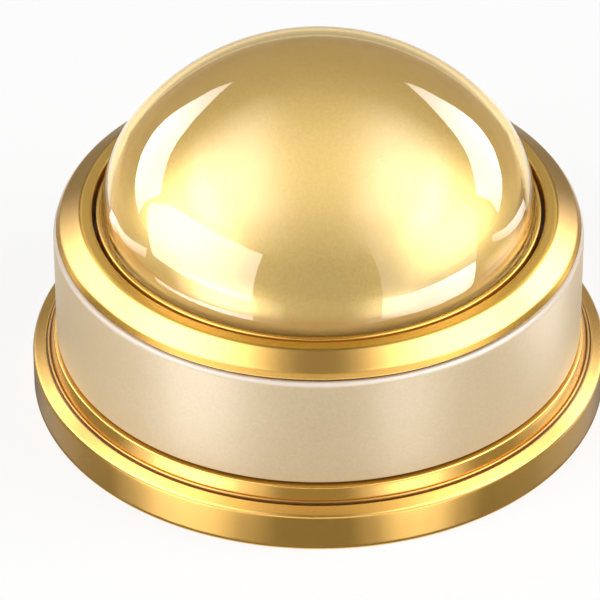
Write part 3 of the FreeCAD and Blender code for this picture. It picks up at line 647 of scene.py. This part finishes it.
for kind, v, seen in (("Gloss", forGloss, {"gloss": True, "glass": False}),
                      ("Glass", forGlass, {"gloss": False, "glass": True})):
    walls = [(v["size"], height, weight) for height, weight in room["wall"]]
    walls.append((room["pole"], walls[-1][1], 0))  # closed above
    table = [(radius, room["tableLift"] * v["size"], weight) for radius, weight in v["table"]]
    roundCard("room" + kind, walls, v["back"], v["front"], **seen)
    roundCard("table" + kind, table, v["tableBack"], v["tableFront"], **seen)
    ceilingCard("ceiling" + kind, v, **seen)

# softboxes bent round the object, which the lens mirrors: rows of (turn, height in mm) from the lower edge
# up, each with its weight; ends fade from point to point along the rows
softboxes = {
    "windowLeft": {"side": -1, "reach": 0.25, "glow": 8.0, "rows": (
        (1, ((30, 12), (42, 14), (56, 14), (72, 10), (85, 4), (90, 37), (99, 86))),
        (1, ((31, 213), (47, 218), (59, 207), (71, 192), (84, 169), (92, 148), (101, 108))))},
    "windowRight": {"side": 1, "reach": 0.25, "glow": 2.4, "rows": (
        (1, ((29, 22), (44, 18), (53, 17), (63, 15), (71, 13), (79, 8))),
        (1, ((30, 179), (42, 173), (55, 162), (67, 150), (77, 122), (86, 93))),
        (0, ((29, 313), (47, 306), (64, 285), (79, 239), (91, 189), (95, 131))))},
    "stripLeft": {"side": -1, "reach": 0.075, "glow": 10.0, "ends": (0.6, 0.9, 1, 0.9, 0.5), "rows": (
        (0.7, ((25, 11.5), (35, 11), (48, 10), (61, 10.5), (70, 14))),
        (1, ((25, 23.5), (35, 22), (47, 21.5), (60, 20), (70, 20))))},
    "stripRight": {"side": 1, "reach": 0.075, "glow": 18.0, "ends": (0.4, 0.65, 0.95, 1, 0.8), "rows": (
        (0.6, ((24, 21), (36, 18.5), (49, 17.5), (59, 16.5), (65, 18.5))),
        (1, ((24, 38), (36, 37), (49, 37), (59, 36.5), (67, 35))))},
    "streakLeft": {"side": -1, "reach": 0.075, "glow": 6.0, "ends": (1, 1, 0.9, 0.6), "rows": (
        (0.3, ((76, 28), (92, 20), (100, 18.5), (113, 8.5))),
        (1, ((76, 35), (92, 26), (103, 24), (110, 21))))},
    "streakRight": {"side": 1, "reach": 0.075, "glow": 7.0, "ends": (0.7, 1, 1, 0.6), "rows": (
        (0.5, ((78, 37), (88, 29.5), (99, 24.5), (110, 21.5))),
        (1, ((79, 41.5), (88, 35.5), (98, 31.5), (109, 28))))},
}
crescent = {"reach": 0.9, "glow": 11.0, "ends": (0.35, 0.5, 0.65, 0.8, 1, 1, 1, 1, 1, 0.75, 0.5), "rows": (
    (1, ((154, 500), (150, 425), (146, 370), (143, 290), (140, 210), (137, 172), (132, 148), (126, 147),
         (120, 142), (113, 105), (106, 72))),
    (1, ((154, 504), (148, 527), (142, 537), (137, 532), (130, 498), (125, 465), (120, 435), (113, 410),
         (104, 375), (107, 245), (106, 82))))}


def bentCard(name, side, v):
    net = []
    for weight, row in v["rows"]:
        ends = v.get("ends", [1] * len(row))
        net.append([(heading(side * turn) * v["reach"] + upBy(height * mm), weight * end)
                    for (turn, height), end in zip(row, ends)])
    netCard(name, net, v["glow"], glass=False, only=lensOnly)


for name, v in softboxes.items():
    bentCard(name, v["side"], v)
for name, side in (("crescentLeft", -1), ("crescentRight", 1)):
    bentCard(name, side, crescent)

# soft patches of light a metre off, with weights over their turns and over their lifts, in degrees
patchHeight = 0.045  # where a lift of 0 is
seenByGlass = {"gloss": False, "glass": True}
seenByGold = {"gloss": True, "glass": False, "only": goldOnly}
pairs = {
    "satin": {"left": 4.2, "right": 3.8, "seen": seenByGlass,
              "turns": ((42, 0), (58, 0.7), (75, 1), (96, 1), (108, 0.4), (120, 0)),
              "lifts": ((-14, 0), (0, 0.6), (10, 0.9), (20, 1), (34, 0.9), (46, 0.4), (58, 0))},
    "slope": {"left": 4.0, "right": 6.0, "seen": seenByGold,
              "turns": ((104, 0), (116, 1), (130, 1), (142, 0.4), (149, 0)),
              "lifts": ((-2, 0), (10, 0.35), (18, 0.5), (28, 1), (40, 1), (52, 0))},
    "band": {"left": 4.0, "right": 5.5, "seen": seenByGold,
             "turns": ((138, 0), (144, 1), (150, 1), (156, 0)),
             "lifts": ((36, 0), (40, 1), (47, 1), (53, 0))},
    "land": {"left": 2.4, "right": 2.4, "seen": seenByGold,
             "turns": ((155, 0), (163, 1), (170, 0.6), (178, 0)),
             "lifts": ((29, 0), (34, 1), (40, 1), (46, 0))},
}
singles = {
    "edgeFront": {"glow": 1.4, "seen": seenByGold,
                  "turns": ((-80, 0), (-55, 1), (0, 1), (55, 1), (80, 0)),
                  "lifts": ((3, 0), (9, 1), (24, 1), (32, 0))},
    "landBack": {"glow": 0.6, "seen": seenByGold,
                 "turns": ((155, 0), (168, 1), (180, 1), (192, 1), (205, 0)),
                 "lifts": ((12, 0), (17, 1), (28, 1), (32, 0), (39, 0), (43, 1), (58, 1), (66, 0))},
}


def patchCard(name, side, glow, v):
    rows = []
    for lift, first in v["lifts"]:
        height = patchHeight + math.tan(math.radians(lift))
        rows.append([(heading(side * turn) + upBy(height), first * second) for turn, second in v["turns"]])
    netCard(name, rows, glow, **v["seen"])


for name, v in pairs.items():
    patchCard(name + "Left", -1, v["left"], v)
    patchCard(name + "Right", 1, v["right"], v)
for name, v in singles.items():
    patchCard(name, 1, v["glow"], v)

# light on the table, which fans out from the base between two turns, along their mirrored headings:
# weights over its reaches, and a fade across it; start and lift are in mm
fan = {"start": 50.2, "lift": 0.6,
       "fade": ((0, 0), (0.2, 0.3), (0.35, 0.85), (0.5, 1), (0.65, 0.85), (0.8, 0.3), (1, 0))}
fans = {
    "wallLeft": {"turns": (-88, -44), "glow": 0.3, "reaches": ((0, 1), (0.012, 1), (0.018, 0))},
    "wallRight": {"turns": (36, 90), "glow": 0.36, "reaches": ((0, 1), (0.012, 1), (0.018, 0))},
    "glowLeft": {"turns": (-46, -8), "glow": 4.3, "reaches": ((0, 0.3), (0.012, 0.36), (0.025, 1), (0.8, 1))},
    "glowRight": {"turns": (6, 34), "glow": 3.5,
                  "reaches": ((0, 0.32), (0.012, 0.4), (0.025, 1), (0.05, 1), (0.12, 0.6), (0.8, 0.5))},
    "glowFarRight": {"turns": (42, 74), "glow": 2.6,
                     "reaches": ((0.02, 0), (0.03, 0.9), (0.06, 0.9), (0.15, 0))},
}


def fanCard(name, v):
    first, last = v["turns"]
    rows = []
    for reach, strength in v["reaches"]:
        row = []
        for step, weight in fan["fade"]:
            turn = first + (last - first) * step
            foot = heading(turn) * fan["start"] * mm + upBy(fan["lift"] * mm)
            row.append((foot + heading(2 * turn) * reach, weight * strength))
        rows.append(row)
    netCard(name, rows, v["glow"], forGloss["tableFront"])


for name, v in fans.items():
    fanCard(name, v)

# soft lamps for the matt surfaces; the cards give the gloss
lamps = {
    "lampLeft": {"turn": -58, "lift": 32, "reach": 0.9, "size": 0.7, "glow": 3.2},
    "lampRight": {"turn": 80, "lift": 34, "reach": 0.9, "size": 0.7, "glow": 3.6},
}
lampAim = 0.035  # height on the object's axis


def softLamp(name, v):
    data = bpy.data.lights.new(name, "AREA")
    data.size = v["size"]
    data.energy = v["glow"] * math.pi * v["size"] * v["size"]
    lamp = bpy.data.objects.new(name, data)
    lift = math.radians(v["lift"])
    towards = heading(v["turn"]) * math.cos(lift) + upBy(math.sin(lift))
    lamp.location = towards * v["reach"] + upBy(lampAim)
    lamp.rotation_euler = (-towards).to_track_quat("-Z", "Y").to_euler()
    lamp.visible_camera = False
    lamp.visible_glossy = False
    lamp.visible_transmission = False
    scene.collection.objects.link(lamp)


for name, v in lamps.items():
    softLamp(name, v)
print("studio lit")

view = {"elevation": 36.4, "distance": 0.9, "aim": (0, 0, 0.015), "lens": 309.7, "sensor": 36,
        "shiftX": -0.031, "shiftY": 0.0029, "clipStart": 0.01}
camera = bpy.data.objects.new("camera", bpy.data.cameras.new("camera"))
camera.data.sensor_width = view["sensor"]
camera.data.lens = view["lens"]
camera.data.shift_x = view["shiftX"]
camera.data.shift_y = view["shiftY"]
camera.data.clip_start = view["clipStart"]
lean = math.radians(view["elevation"])
camera.location = Vector(view["aim"]) + Vector((0, -math.cos(lean), math.sin(lean))) * view["distance"]
camera.rotation_euler = (math.pi / 2 - lean, 0, 0)
scene.collection.objects.link(camera)
scene.camera = camera
